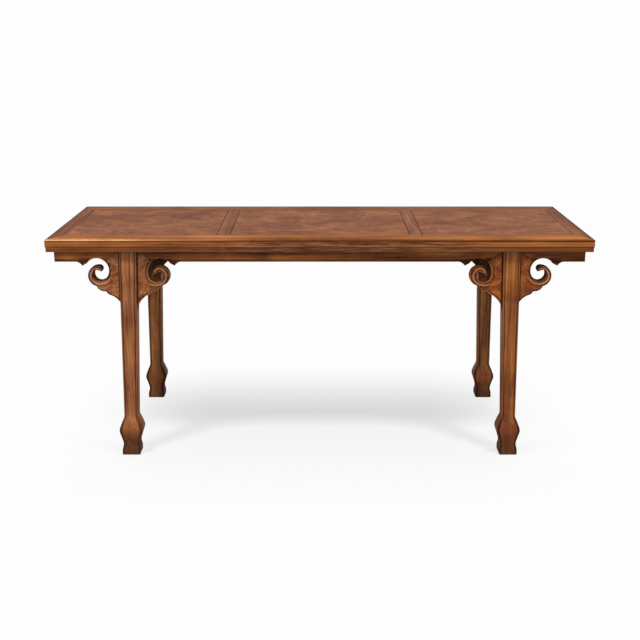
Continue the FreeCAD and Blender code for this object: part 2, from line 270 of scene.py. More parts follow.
looks = {"railWood": {
    "along": "X", "offset": 0.0, "figure": 0.02, "streak": 26, "stops": (0.30, 0.45, 0.56, 0.70),
    "shades": [(74, 38, 16), (130, 77, 40), (162, 102, 58), (198, 134, 80)],
    "blotch": 3.0, "blotchTint": (205, 190, 182), "blotchShare": 0.8, "pores": 0.35,
    "flecks": 0.8, "fleckAmount": 0.36, "glazeTint": (48, 18, 4), "wornTints": [(208, 120, 44), (240, 190, 144)],
    "weatherTints": [(48, 28, 20), (112, 70, 48), (166, 114, 84)],
    "specular": 0.06, "rough": (0.40, 0.55), "bump": 0.25,
}}


def variant(name, base, **changes):
    looks[name] = dict(looks[base], **changes)


variant(
    "backRailWood", "railWood", offset=2.2, flecks=0.4,
    shades=[(88, 50, 28), (128, 80, 50), (148, 94, 60), (168, 112, 72)],
)
variant(
    "endRailWood", "railWood", along="Y", offset=3.1, flecks=0.3,
    shades=[(88, 52, 36), (118, 74, 52), (138, 90, 66), (156, 106, 80)],
)
variant("dividerWood", "endRailWood", offset=7.7, shades=[(94, 56, 38), (126, 80, 56), (146, 96, 68), (164, 112, 82)])
variant(
    "legWood", "railWood", along="Z", offset=11.0, streak=30, stops=(0.34, 0.455, 0.55, 0.66), specular=0.3,
    flecks=0.35, blotch=5.5, blotchTint=(178, 158, 148), wornTints=[(186, 90, 18), (240, 190, 144)],
    shades=[(78, 40, 18), (151, 90, 48), (188, 120, 66), (232, 164, 104)],
)
variant("goldenLegWood", "legWood", offset=41.0, shades=[(56, 22, 4), (120, 62, 16), (155, 87, 28), (202, 128, 54)])
# the back legs' darker glaze tint also deepens the painted shade on them
variant(
    "backLegWood", "legWood", offset=47.0, glazeTint=(28, 11, 5),
    shades=[(70, 34, 14), (142, 84, 38), (176, 109, 52), (214, 144, 80)],
)
variant(
    "apronWood", "railWood", offset=5.3, stops=(0.36, 0.46, 0.55, 0.64), specular=0.2, flecks=0.3,
    blotch=4.5, blotchTint=(170, 150, 136), blotchShare=0.9,
    shades=[(66, 30, 8), (140, 77, 28), (174, 101, 40), (218, 141, 68)],
)
variant("endBoardWood", "apronWood", along="Y")
# the spandrels' dark glaze tint also deepens the painted shade on their backs, walls and hollows
variant(
    "spandrelWood", "railWood", along="burl", offset=17.0, streak=15, stops=(0.37, 0.46, 0.54, 0.63), specular=0.3,
    flecks=0.3, blotch=7.0, blotchTint=(176, 156, 142), glazeTint=(24, 10, 5),
    shades=[(90, 45, 20), (163, 97, 50), (197, 123, 66), (232, 158, 98)],
)
variant(
    "goldenSpandrelWood", "spandrelWood", offset=37.0,
    shades=[(78, 30, 2), (146, 72, 8), (180, 95, 18), (224, 136, 46)],
)
variant(
    "hiddenWood", "railWood", along="Y", offset=23.0, flecks=0.2,
    shades=[(96, 66, 42), (132, 96, 64), (150, 112, 78), (168, 128, 92)],
)
variant(
    "panelWood", "railWood", along="burl", offset=29.0, streak=9, flecks=0.25, blotch=2.4, blotchTint=(222, 212, 212),
    shades=[(98, 58, 42), (132, 82, 56), (153, 96, 60), (188, 118, 68)],
)

# what all the woods share: how much of each noise shows, and between which of its values
mixing = {
    "slowShare": 0.66, "burlSlowShare": 0.58, "blotchRange": (0.42, 0.66), "poreRange": (0.38, 0.30),
    "fleckGroups": (0.40, 0.66), "fleckSpread": 0.12, "fleckEdge": 0.04, "weatherStops": (0.38, 0.5, 0.64),
    "patchyWearAndHighlight": (0.30, 0.62, 1.0, 0.45), "wornAndLitRange": (0.5, 1.0), "roughRange": (0.35, 0.65), "glazeAndShadeDull": 0.6,
    "bumpDistance": 0.0004,
}


def grainNoises(look):
    # for each noise: stretch along and across the grain, shift, detail, roughness, distortion
    streak, blotch = look["streak"], look["blotch"]
    noises = {"blotch": (blotch, blotch, 4.0, 4.0, 0.6, 0.6), "fleckGroups": (5.0, 5.0, 13.0, 1.0, 0.55, 0.0)}
    if look["along"] == "burl":
        return dict(
            noises, slow=(streak * 0.8, streak, 0.0, 5.0, 0.6, 1.6), fine=(streak * 5, streak * 6, 0.0, 4.0, 0.6, 2.4),
            pores=(260, 420, 0.0, 2.0, 0.55, 0.0), flecks=(60, 60, 9.0, 2.0, 0.5, 0.3),
            weather=(230.0, 230.0, 21.0, 4.0, 0.65, 0.2),
        )
    return dict(
        noises, slow=(1.1, streak, 0.0, 5.0, 0.62, 0.0), fine=(4.0, streak * 6, 0.0, 3.0, 0.6, 0.0),
        pores=(22.0, 620.0, 0.0, 1.0, 0.55, 0.0), flecks=(38.0, 190.0, 9.0, 2.0, 0.5, 0.3),
        weather=(11.0, 230.0, 21.0, 4.0, 0.65, 0.2),
    )


def addNode(tree, kind, inputs=None, **settings):
    # an input that is a socket is linked, and any other is set
    node = tree.nodes.new("ShaderNode" + kind)
    for name, value in settings.items():
        setattr(node, name, value)
    for name, value in (inputs or {}).items():
        if isinstance(value, bpy.types.NodeSocket):
            tree.links.new(value, node.inputs[name])
        else:
            node.inputs[name].default_value = value
    return node


def mixColour(tree, blend, share, first, second):
    return addNode(tree, "Mix", {0: share, 6: first, 7: second}, data_type="RGBA", blend_type=blend).outputs[2]


def mathNode(tree, operation, first, second=0.0, clamp=False):
    return addNode(tree, "Math", {0: first, 1: second}, operation=operation, use_clamp=clamp).outputs[0]


def mapRange(tree, value, low, high, toLow=0.0, toHigh=1.0):
    reach = {"Value": value, "From Min": low, "From Max": high, "To Min": toLow, "To Max": toHigh}
    return addNode(tree, "MapRange", reach).outputs["Result"]


def colourRamp(tree, share, stops, shades):
    ramp = addNode(tree, "ValToRGB", {"Fac": share})
    elements = ramp.color_ramp.elements
    while len(elements) < len(stops):
        elements.new(0.5)
    for element, stop, shade in zip(elements, stops, shades):
        element.position = stop
        element.color = tint(*shade)
    return ramp.outputs["Color"]


def woodNoise(tree, place, look, kind):
    lengthwise, across, shift, detail, roughness, distortion = grainNoises(look)[kind]
    alongAxis = "X" if look["along"] == "burl" else look["along"]
    stretch = [lengthwise if axis == alongAxis else across for axis in "XYZ"]
    offset = look["offset"] + shift
    mapping = addNode(tree, "Mapping", {"Vector": place, "Scale": stretch,
                                        "Location": (offset, offset * 1.7, offset * 0.6)})
    cloud = addNode(tree, "TexNoise", {"Vector": mapping.outputs["Vector"], "Scale": 1.0, "Detail": detail,
                                       "Roughness": roughness, "Distortion": distortion})
    return cloud.outputs["Fac"]


def newMaterial(name):
    material = bpy.data.materials.new(name)
    material.use_nodes = True
    material.node_tree.nodes.clear()
    return material


def makeWood(name, look):
    material = newMaterial(name)
    tree = material.node_tree
    place = addNode(tree, "TexCoord").outputs["Object"]

    # the grain wanders a little, so its coordinates are pushed about by a slow noise
    drift = addNode(tree, "TexNoise", {"Vector": place, "Scale": 2.3, "Detail": 2.0})
    pushed = addNode(tree, "VectorMath", {0: drift.outputs["Color"], 1: (look["figure"],) * 3, 2: place},
                     operation="MULTIPLY_ADD")
    slow, fine, pores = [woodNoise(tree, pushed.outputs["Vector"], look, kind) for kind in ("slow", "fine", "pores")]
    slowShare = mixing["burlSlowShare" if look["along"] == "burl" else "slowShare"]
    figure = mathNode(tree, "ADD", mathNode(tree, "MULTIPLY", slow, slowShare),
                      mathNode(tree, "MULTIPLY", fine, 1 - slowShare))
    colour = colourRamp(tree, figure, look["stops"], look["shades"])

    glazeTint = tint(*look["glazeTint"])
    blotch = woodNoise(tree, place, look, "blotch")
    stain = mapRange(tree, blotch, *mixing["blotchRange"], 0.0, look["blotchShare"])
    colour = mixColour(tree, "MULTIPLY", stain, colour, tint(*look["blotchTint"]))
    poreMask = mapRange(tree, pores, *mixing["poreRange"], 0.0, look["pores"])
    colour = mixColour(tree, "MIX", poreMask, colour, glazeTint)

    # dark nicks and worm marks, in loose groups
    most = look["fleckAmount"]
    groups = woodNoise(tree, place, look, "fleckGroups")
    limit = mapRange(tree, groups, *mixing["fleckGroups"], most - mixing["fleckSpread"], most)
    inFleck = mathNode(tree, "SUBTRACT", limit, woodNoise(tree, place, look, "flecks"))
    fleckMask = mapRange(tree, inFleck, 0.0, mixing["fleckEdge"], 0.0, look["flecks"])
    colour = mixColour(tree, "MIX", fleckMask, colour, glazeTint)

    # the script paints how weathered each point is, its wear together with painted highlights, and its glaze together
    # with painted shade
    weathered, worn, glaze = [addNode(tree, "Attribute", attribute_name=painted).outputs["Fac"]
                              for painted in ("weathered", "worn", "glaze")]
    streaks = woodNoise(tree, place, look, "weather")
    weather = colourRamp(tree, streaks, mixing["weatherStops"], look["weatherTints"])
    colour = mixColour(tree, "MIX", weathered, colour, weather)
    # wear and painted highlights lighten the colour towards the worn tints, in patches
    wornAndLitShare = mathNode(tree, "MULTIPLY", worn, mapRange(tree, blotch, *mixing["patchyWearAndHighlight"]), clamp=True)
    wornAndLitColour = mixColour(tree, "MIX", mapRange(tree, worn, *mixing["wornAndLitRange"]), *[tint(*t) for t in look["wornTints"]])
    colour = mixColour(tree, "MIX", wornAndLitShare, colour, wornAndLitColour)
    # glaze and painted shade darken the colour towards the glaze tint
    colour = mixColour(tree, "MIX", glaze, colour, glazeTint)

    rough = mapRange(tree, figure, *mixing["roughRange"], *reversed(look["rough"]))
    dull = mathNode(tree, "ADD", rough, mathNode(tree, "MULTIPLY", glaze, mixing["glazeAndShadeDull"]), clamp=True)
    bump = addNode(tree, "Bump", {"Strength": look["bump"], "Distance": mixing["bumpDistance"],
                                  "Height": mathNode(tree, "SUBTRACT", figure, poreMask)})
    shader = addNode(tree, "BsdfPrincipled", {
        "Base Color": colour, "Roughness": dull, "Specular IOR Level": look["specular"],
        "Normal": bump.outputs["Normal"],
    })
    addNode(tree, "OutputMaterial", {"Surface": shader.outputs["BSDF"]})
    return material


# rails of the top, with the moulding along their outer side

rail = {
    "arrisRadius": 0.0055, "quirkHigh": 0.002, "quirkDeep": 0.0018, "fasciaHigh": 0.019, "fasciaInset": 0.0006,
    "stepHigh": 0.0018, "bandInset": 0.0024, "bandRadius": 0.003, "softness": 0.0005, "jointLine": 0.0012,
    "mitreNose": 0.008, "stripWide": 0.029, "grooveUnderTop": 0.014, "grooveHigh": 0.0061, "grooveDeep": 0.01,
    "supports": (0.0025, 0.0035, 0.0025, 0.003), "stationGap": 0.02, "outerSide": 0.006, "innerSide": 0.03,
    "handWork": 0.0005, "handWorkIn": (1, 0.004, 0.012), "handWorkLength": 0.09, "handWorkUp": 60,
    "glaze": {
        "seam": (0.0006, 0.0014), "uneven": (13, 40), "middle": (1, 0.15, 0.5), "lessInMiddle": 0.8,
        "quirk": (1, 0.0008, 0.0026), "quirkShares": (0.30, 0.40),
        "quirkTop": (0.70, -0.75, -0.3), "quirkTopFoot": (1, -0.0012, 0.0), "quirkTopHigh": (0.0022, 0.0042),
        "quirkTopRight": (0.0018, -0.4, -0.1), "quirkTopMiddle": 0.003,
        "step": (0.9, 0.0008, 0.0024), "stepShares": (0.34, 0.4), "stepLeft": (0.55, -0.85, -0.5),
        "foot": (0.5, 0.0, 0.0015), "edge": (0.75, 0.002, 0.009),
        "dull": 0.14, "dullRight": (0.16, -0.75, -0.4), "dullEnd": (0.16, 0.55, 0.8), "dullHigh": (1, 0.0, 0.002),
        "dullMiddle": (0.16, 0.2, 0.7),
        "stains": [(0.17, 0.15, 0.85), (-0.20, 0.13, 0.62), (-0.56, 0.05, 0.35)],  # place, half length, share
        "stainUneven": (24, 260), "stainBreaks": (0.65, 0.42, 0.62), "stainHigh": (1, 0.003, 0.010),
        "stainUnderQuirk": 0.007,
    },
    "wearAndHighlight": {
        "patches": 5.0, "arris": (1, 0.003, 0.009), "arrisShares": (0.7, 0.5), "rubbedAndLit": 0.30,
        "rubbedAndLitEnd": (0.35, -0.95, -0.45), "rubbedAndLitLeft": (0.50, -0.55, -0.1),
        "strip": 0.30, "stripEnds": (0.20, 0.2, 0.6), "stripRight": (0.10, 0.5, 0.9), "stripFlat": (1, -0.004, 0.0),
        "stripFrom": (1, 0.004, 0.012), "stripInwards": (0.6, 0.02, 0.085),
        "fascia": 0.02, "fasciaEnds": (0.36, 0.15, 0.6), "fasciaShares": (0.5, 0.9), "aboveStep": (1, 0.0, 0.001),
        "underQuirk": (1, -0.001, 0.0), "fasciaRight": (0.7, 0.2, 0.38), "fasciaRightEnd": (1, 0.58, 0.72),
        "lip": (0.55, 0.0006, 0.0028), "lipUp": 0.001, "lipShare": 0.6, "band": (0.16, 0.0008, 0.0024),
        "bandUp": 0.003, "otherRails": 0.35,
    },
    "weather": {"least": 0.15, "middle": (0.6, 0.25, 0.75), "middleAt": 0.05, "otherRails": 0.4},
}
# heights over the rail's underside
arrisFoot = topThickness - rail["arrisRadius"]
quirkFoot = arrisFoot - rail["quirkHigh"]
quirkMiddle = arrisFoot - rail["quirkHigh"] / 2
fasciaFoot = quirkFoot - rail["fasciaHigh"]


def railProfile(width):
    # insets and heights, from the top's edge down the moulding and back up the inner side with its groove
    top, radius, band, line = topThickness, rail["arrisRadius"], rail["bandRadius"], rail["jointLine"]
    quirk, fascia, low = rail["quirkDeep"], rail["fasciaInset"], rail["bandInset"]
    underQuirk, overStep, underStep, overBand = rail["supports"]  # extra points that keep the shading crisp
    bandTop = fasciaFoot - rail["stepHigh"]
    grooveFloor = top - rail["grooveUnderTop"]
    grooveRoof = grooveFloor + rail["grooveHigh"]
    grooveBack = width - rail["grooveDeep"]
    turn = 1 - math.sqrt(0.5)
    outer = [
        (quirk, arrisFoot), (quirk, quirkFoot), (fascia, quirkFoot), (fascia, quirkFoot - underQuirk),
        (fascia, (quirkFoot + fasciaFoot) / 2), (fascia, fasciaFoot + overStep), (fascia, fasciaFoot),
        (low, bandTop), (low, bandTop - underStep), (low, band + overBand), (low, band),
    ]
    inner = [
        (width, 0), (width, grooveFloor), (grooveBack, grooveFloor), (grooveBack, grooveRoof), (width, grooveRoof),
        (width, top - line), (width - line, top), (radius, top),
    ]
    arris = ((radius * turn, top - radius * turn), (0, arrisFoot))
    foot = ((low + band * turn, band * turn), (low + band, 0))
    return [(radius, top), arris, *outer, foot, *inner]


def mitreInset(inset, width, otherWidth):
    nose = rail["mitreNose"]
    if inset <= nose:
        return inset
    return nose + (inset - nose) * (otherWidth - nose) / (width - nose)


def lengthwiseEdges(bm, length):
    return [e for e in bm.edges if abs(e.verts[0].co.x - e.verts[1].co.x) > length / 2]


def railMesh(width, otherWidth, length, name):
    # drawn along X with its outer side at y = 0, inset growing with y
    bm = drawFace(railProfile(width), 0.001)
    standUp(bm, (0, 1, 0), (0, 0, 1), (-length / 2, 0, 0))
    thicken(bm, (length, 0, 0))
    sharp = [e for e in lengthwiseEdges(bm, length)
             if e.calc_face_angle(0) > 0.6 and e.verts[0].co.y < rail["bandInset"] + hair]
    soften(bm, sharp, rail["softness"], 2)
    for cut in (rail["mitreNose"], rail["stripWide"]):
        cutAcross(bm, (0, cut, 0), (0, 1, 0))
    for side in (-1, 1):
        for v in bm.verts:
            if v.co.x * side > 0:
                v.co.x = side * (length / 2 - mitreInset(v.co.y, width, otherWidth))
    bmesh.ops.subdivide_edges(bm, edges=lengthwiseEdges(bm, length), cuts=int(length / rail["stationGap"]),
                              use_grid_fill=True)
    for v in bm.verts:
        handPlane(v, length)
    return meshFrom(bm, name)


def handPlane(v, length):
    # hand work and wear leave the outer side a little uneven, and each length of rail in its own way
    near = fall(rail["handWorkIn"], v.co.y)
    if near > 0:
        depth = unevenness(v.co.x / rail["handWorkLength"], v.co.z * rail["handWorkUp"], length * 9)
        v.co.y += near * rail["handWork"] * depth


def fromArris(inset, up):
    return topThickness - up + abs(inset - 0.002)


# painted shade on the rails, partly glaze: in the quirk and under the step, along the band's foot, on the arrises of
# the back and end rails, and under the front arris away from its left end; the seam line and the stains are dark marks
# of the wood itself, and the band is darker towards the right and the ends and the fascia darker in its middle
def railGlazeAndShade(inset, up, along, atFront):
    glaze = rail["glaze"]
    if inset > rail["innerSide"]:
        seamTop, seamFoot = glaze["seam"]
        return 1.0 if seamTop < topThickness - up < seamFoot else 0.0
    unevenAlong, unevenUp = glaze["uneven"]
    uneven = unevenness(along * unevenAlong, up * unevenUp, 5.0)
    middle = fall(glaze["middle"], abs(along))
    easedInMiddle = 1 - glaze["lessInMiddle"] * middle
    quirk = mixed(glaze["quirkShares"], uneven) * easedInMiddle * fall(glaze["quirk"], abs(up - quirkMiddle))
    stepMiddle = fasciaFoot - rail["stepHigh"] / 2
    step = mixed(glaze["stepShares"], uneven) * (1 - fall(glaze["stepLeft"], along))
    step *= fall(glaze["step"], abs(up - stepMiddle))
    dull = glaze["dull"] + rise(glaze["dullRight"], along) + rise(glaze["dullEnd"], along)
    dull *= fall(glaze["dullHigh"], up - fasciaFoot)
    if inset < rail["outerSide"] and up < arrisFoot:
        dull += fall(glaze["dullMiddle"], abs(along)) * uneven
    everywhere = max(quirk, step, fall(glaze["foot"], up), dull)
    if not atFront:
        return max(everywhere, fall(glaze["edge"], fromArris(inset, up)))

    fadeFrom, fadeTo = glaze["quirkTopHigh"]
    fadeTo += rise(glaze["quirkTopRight"], along) + glaze["quirkTopMiddle"] * middle
    quirkTop = rise(glaze["quirkTop"], along) * rise(glaze["quirkTopFoot"], up - arrisFoot)
    quirkTop *= fall((1, fadeFrom, fadeTo), up - arrisFoot)
    if inset > 0.0009 and up < arrisFoot + 2 * hair:  # the quirk's own roof
        quirkTop *= easedInMiddle
    stain = 0.0
    if inset < rail["outerSide"]:
        stainAlong, stainUp = glaze["stainUneven"]
        stain = max(fall((share, 0.0, half), abs(along - place)) for place, half, share in glaze["stains"])
        stain *= 1 - fall(glaze["stainBreaks"], unevenness(along * stainAlong, up * stainUp, 2.0))
        stain *= fall(glaze["stainHigh"], abs(up - quirkMiddle + glaze["stainUnderQuirk"]))
    return max(everywhere, quirkTop, stain)


# wear with painted highlights on the rails: the front arris is lit most towards its left end, with a lit strip on the
# top behind it, the fascia lighter towards its ends, and lit lines along the fascia's lip and near the band's foot;
# the other rails get less
def railWearAndHighlight(inset, up, along, atFront):
    wearAndHighlight = rail["wearAndHighlight"]
    patches = unevenness(along * wearAndHighlight["patches"], 3.0, 1.0)
    rubbedAndLit = wearAndHighlight["rubbedAndLit"] + fall(wearAndHighlight["rubbedAndLitEnd"], along) + fall(wearAndHighlight["rubbedAndLitLeft"], along)
    arris = rubbedAndLit * fall(wearAndHighlight["arris"], fromArris(inset, up)) * mixed(wearAndHighlight["arrisShares"], patches)
    strip = wearAndHighlight["strip"] + rise(wearAndHighlight["stripEnds"], abs(along)) + rise(wearAndHighlight["stripRight"], along)
    strip *= (1 - rise(wearAndHighlight["stripInwards"], inset)) * rise(wearAndHighlight["stripFrom"], inset)
    strip *= rise(wearAndHighlight["stripFlat"], up - topThickness)
    worn = max(arris, strip)
    if inset <= rail["outerSide"]:
        fascia = rise(wearAndHighlight["aboveStep"], up - fasciaFoot) * fall(wearAndHighlight["underQuirk"], up - quirkFoot)
        fascia *= (wearAndHighlight["fascia"] + rise(wearAndHighlight["fasciaEnds"], abs(along))) * mixed(wearAndHighlight["fasciaShares"], patches)
        fascia *= 1 - rise(wearAndHighlight["fasciaRight"], along) * fall(wearAndHighlight["fasciaRightEnd"], along)
        lip = fall(wearAndHighlight["lip"], abs(up - fasciaFoot - wearAndHighlight["lipUp"])) * (wearAndHighlight["lipShare"] + patches)
        worn = max(worn, fascia, lip, fall(wearAndHighlight["band"], abs(up - wearAndHighlight["bandUp"])))
    return min(1.0, worn) * (1 if atFront else wearAndHighlight["otherRails"])


def railWeather(inset, up, along, atFront):
    weather = rail["weather"]
    if inset > rail["outerSide"] or up > arrisFoot + hair:
        return 0.0
    share = weather["least"] + fall(weather["middle"], abs(along - weather["middleAt"]))
    return share * (1 if atFront else weather["otherRails"])


def makeRails(woods):
    longWidth = halfDepth - railInner
    endWidth = halfLength - endRailInner
    longSize = (longWidth, endWidth, 2 * halfLength)
    endSize = (endWidth, longWidth, 2 * halfDepth)
    runs = {
        "front_rail": (longSize, (0, -halfDepth, underside), 0, "railWood"),
        "back_rail": (longSize, (0, halfDepth, underside), 180, "backRailWood"),
        "right_end_rail": (endSize, (halfLength, 0, underside), 90, "endRailWood"),
        "left_end_rail": (endSize, (-halfLength, 0, underside), -90, "endRailWood"),
    }
    for node, (size, place, turn, wood) in runs.items():
        mesh = railMesh(*size, node)
        atFront = node == "front_rail"
        for painted, amount in (("glaze", railGlazeAndShade), ("worn", railWearAndHighlight), ("weathered", railWeather)):
            paintBy(mesh, painted, lambda co: amount(co.y, co.z, co.x, atFront))
        mesh.transform(Matrix.Translation(place) @ Matrix.Rotation(math.radians(turn), 4, "Z"))
        finishPiece(node, mesh, woods[wood], "frame_wood", node)


# boards with softened edges: panels, dividers and end boards

board = {
    "softness": 0.0012, "lineWidth": 0.0022, "litChamferWidth": 0.0055, "litChamferShare": 0.22, "panelGap": 0.0003,
    "tongueHigh": 0.006, "tongueSoftness": 0.0005, "endSoftness": 0.002,
}


def boxMesh(low, high, softness, segments=2):
    bm = bmesh.new()
    bmesh.ops.create_cube(bm, size=1)
    size = Vector(high) - Vector(low)
    bmesh.ops.scale(bm, vec=size, verts=bm.verts)
    bmesh.ops.translate(bm, vec=Vector(low) + size / 2, verts=bm.verts)
    soften(bm, bm.edges[:], softness, segments)
    return bm


# a dark line at each joint, and beside it a painted highlight on the lit side of the chamfer
def paintSeamsAndLitChamfers(mesh, low, high):
    def gap(co):
        return min(co.x - low[0], high[0] - co.x, co.y - low[1], high[1] - co.y)
    line, rubbedAndLit = board["lineWidth"], board["litChamferWidth"]
    paintBy(mesh, "glaze", lambda co: fall((1, 0.0, line), gap(co)))
    paintBy(mesh, "worn", lambda co: board["litChamferShare"] if line - hair < gap(co) < rubbedAndLit - hair else 0.0)


def seamBoard(node, low, high, wood, slot, tongue=None):
    bm = boxMesh(low, high, board["softness"])
    insets = board["lineWidth"], board["litChamferWidth"]
    for axis in (0, 1):
        normal = Vector((1 - axis, axis, 0))
        for place in [low[axis] + inset for inset in insets] + [high[axis] - inset for inset in insets]:
            cutAcross(bm, normal * place, normal)
    if tongue:
        addTo(bm, boxMesh(*tongue, board["tongueSoftness"], 1))
    mesh = meshFrom(bm, node)
    paintSeamsAndLitChamfers(mesh, low, high)
    finishPiece(node, mesh, wood, slot, node)


def makePanels(woods):
    dividerLow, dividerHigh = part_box("right_divider")
    bays = {
        "left_panel": (-endRailInner, -dividerHigh.x),
        "middle_panel": (-dividerLow.x, dividerLow.x),
        "right_panel": (dividerHigh.x, endRailInner),
    }
    gap = board["panelGap"]
    tongueFoot = tableHeight - rail["grooveUnderTop"]
    for node, (x0, x1) in bays.items():
        boxLow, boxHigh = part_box(node)
        low = (x0 + gap, gap - railInner, boxLow.z)
        high = (x1 - gap, railInner - gap, tableHeight)
        tongue = (boxLow.x, boxLow.y, tongueFoot), (boxHigh.x, boxHigh.y, tongueFoot + board["tongueHigh"])
        seamBoard(node, low, high, woods["panelWood"], "panel_wood", tongue)
    for node in ("left_divider", "right_divider"):
        boxLow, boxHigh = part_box(node)
        low = (boxLow.x, -railInner, boxLow.z)
        high = (boxHigh.x, railInner, tableHeight)
        seamBoard(node, low, high, woods["dividerWood"], "frame_wood")


def makeEndBoards(woods):
    for node in ("left_end_board", "right_end_board"):
        mesh = meshFrom(boxMesh(*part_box(node), board["endSoftness"], 3), node)
        finishPiece(node, mesh, woods["endBoardWood"], "apron_wood", node)


# legs

# what is made for the front right corner is mirrored to the others, along x and along y
corners = {"front_right": (1, 1), "front_left": (-1, 1), "back_right": (1, -1), "back_left": (-1, -1)}
leg = {
    "xTop": 0.705, "xFloor": 0.728, "yTop": 0.288, "yFloor": 0.309, "headHalf": (0.032, 0.032),
    "baseRound": 0.0028, "stationGap": 0.0045, "headStations": [0.3, 0.45, 0.5, 0.56, 0.6, 0.7, 0.75],
    "bead": 0.005, "grooveWide": 0.0018, "grooveDeep": 0.0015, "cornerCut": 0.0009,
    "slotClear": 0.0001, "slotHalf": 0.08, "slotOver": 0.01,
    # how much painted shade falls over each foot
    "footShade": {"front_left": 0.76, "front_right": 0.46, "back_left": 0.31, "back_right": 0.42},
    "glaze": {
        "groove": (0.9, 0.0001, 0.0008), "grooveAt": 0.0064, "grooveLine": (0.75, 0.0006, 0.0034),
        "foot": (1, 0.03, 0.19), "sole": (0.45, 0.001, 0.005), "ankle": (0.85, 0.12, 0.17),
        "footEdge": (1, 0.005, 0.013), "inside": (0.88, 0.6, 0.98), "insideUp": (1, 0.50, 0.58),
        "underTop": (0.25, -0.08, 0.0), "joint": (0.9, 0.0, 0.001), "behindBead": (1, -0.016, -0.011),
        "jointUp": (1, 0.57, 0.60),
    },
    "wearAndHighlight": {
        "bead": (0.46, 0.0009, 0.0018), "beadEnd": (1, 0.0036, 0.0050), "beadUnderTop": (0.6, -0.06, 0.0),
        "beadFoot": (1, 0.09, 0.16), "ballHighlight": (0.55, 0.0, 0.055), "ballUp": 0.095, "ballInside": (1, 0.006, 0.014),
    },
}
# heights over the floor with the half width and half depth of the leg there
legShape = [
    (underside, *leg["headHalf"]), (0.158, 0.026, 0.0255), (0.1312, 0.03475, 0.031), (0.101, 0.0435, 0.0365),
    (0.0702, 0.03594, 0.0323), (0.044, 0.030, 0.029), (0.018, 0.034, 0.0335), (0.0, 0.034, 0.0335),
]


def legMiddle(height):
    # the front right leg's: its y runs towards the front as it goes down
    x = leg["xFloor"] + (leg["xTop"] - leg["xFloor"]) * height / underside
    y = leg["yFloor"] + (leg["yTop"] - leg["yFloor"]) * height / underside
    return x, -y


def legSlopes(column):
    # slopes for a smooth curve down the foot: straight above the ankle, upright at the base
    slopes = []
    for i in range(len(legShape)):
        if i >= len(legShape) - 2:
            slopes.append(0.0)
            continue
        a, b = (legShape[0], legShape[1]) if i < 2 else (legShape[i - 1], legShape[i + 1])
        slopes.append((b[column] - a[column]) / (b[0] - a[0]))
    return slopes


def legHalf(column, height):
    slopes = legSlopes(column)
    for i in range(len(legShape) - 1):
        upper, lower = legShape[i], legShape[i + 1]
        if lower[0] <= height <= upper[0]:
            span = lower[0] - upper[0]
            t = (height - upper[0]) / span
            return ((1 + 2 * t) * (1 - t) ** 2 * upper[column] + t * (1 - t) ** 2 * span * slopes[i]
                    + t * t * (3 - 2 * t) * lower[column] + t * t * (t - 1) * span * slopes[i + 1])
    return legShape[-1][column]


def legHeights():
    base = leg["baseRound"]
    heights = [0.0, base * 0.12, base * 0.4, base]
    z = 0.006
    while z < legShape[1][0] + 0.01:
        heights.append(z)
        z += leg["stationGap"]
    return heights + leg["headStations"] + [underside]


def baseInset(height):
    base = leg["baseRound"]
    rest = min(1, max(0, 1 - height / base))
    return base * (1 - math.sqrt(1 - rest * rest))


def legCorner():
    # from the groove in one face round the bead to the groove in the other, as insets from the corner
    bead, wide, deep = leg["bead"], leg["grooveWide"], leg["grooveDeep"]
    near = [(bead + wide + flat, 0.0) for flat in (0.0125, 0.0045, 0.0004)]
    near += [(bead + wide * across, deep * down) for across, down in ((0.85, 0.75), (0.5, 1), (0.1, 0.75))]
    near += [(bead * 0.86, deep * 0.2), (bead * 0.62, 0.0), (bead * 0.4, 0.00025)]
    return near + [(leg["cornerCut"], leg["cornerCut"])] + [(b, a) for a, b in reversed(near)]


def legCornerPlace(corner, height):
    x, y = legMiddle(height)
    inset = baseInset(height)
    x += corner[0] * (legHalf(1, height) - inset)
    y += corner[1] * (legHalf(2, height) - inset)
    return Vector((x, y, height))


def legMesh():
    # the sole's outline is carried up the leg from height to height, each corner by its own way
    bm = bmesh.new()
    side = bm.verts.layers.int.new("side")
    groups = {}
    start = []
    for sideX, sideY, flip in ((1, -1, False), (1, 1, True), (-1, 1, False), (-1, -1, True)):
        insets = [(b, a) for a, b in legCorner()] if flip else legCorner()
        group = [bm.verts.new((-sideX * a, -sideY * b, 0)) for a, b in insets]
        groups[(sideX, sideY)] = group
        start += group
    previous = {corner: Vector((0, 0, 0)) for corner in groups}
    region = [bm.faces.new(start)]
    for index, group in enumerate(groups.values()):
        for v in group:
            v[side] = index
    for number, height in enumerate(legHeights()):
        verts = bm.verts[:]
        if number:
            grown = bmesh.ops.extrude_face_region(bm, geom=region)["geom"]
            verts = vertsOf(grown)
            if number > 1:
                bmesh.ops.delete(bm, geom=region, context="FACES_ONLY")
            region = [g for g in grown if isinstance(g, bmesh.types.BMFace)]
        for index, corner in enumerate(groups):
            place = legCornerPlace(corner, height)
            moved = [v for v in verts if v[side] == index]
            bmesh.ops.translate(bm, verts=moved, vec=place - previous[corner])
            previous[corner] = place
    bmesh.ops.recalc_face_normals(bm, faces=bm.faces)
    return meshFrom(bm, "leg")


def fromLegMiddle(co):
    x, y = legMiddle(co.z)
    return co.x - x, co.y - y


def legInsets(co):
    outX, outY = fromLegMiddle(co)
    return sorted((legHalf(1, co.z) - abs(outX), legHalf(2, co.z) - abs(outY)))


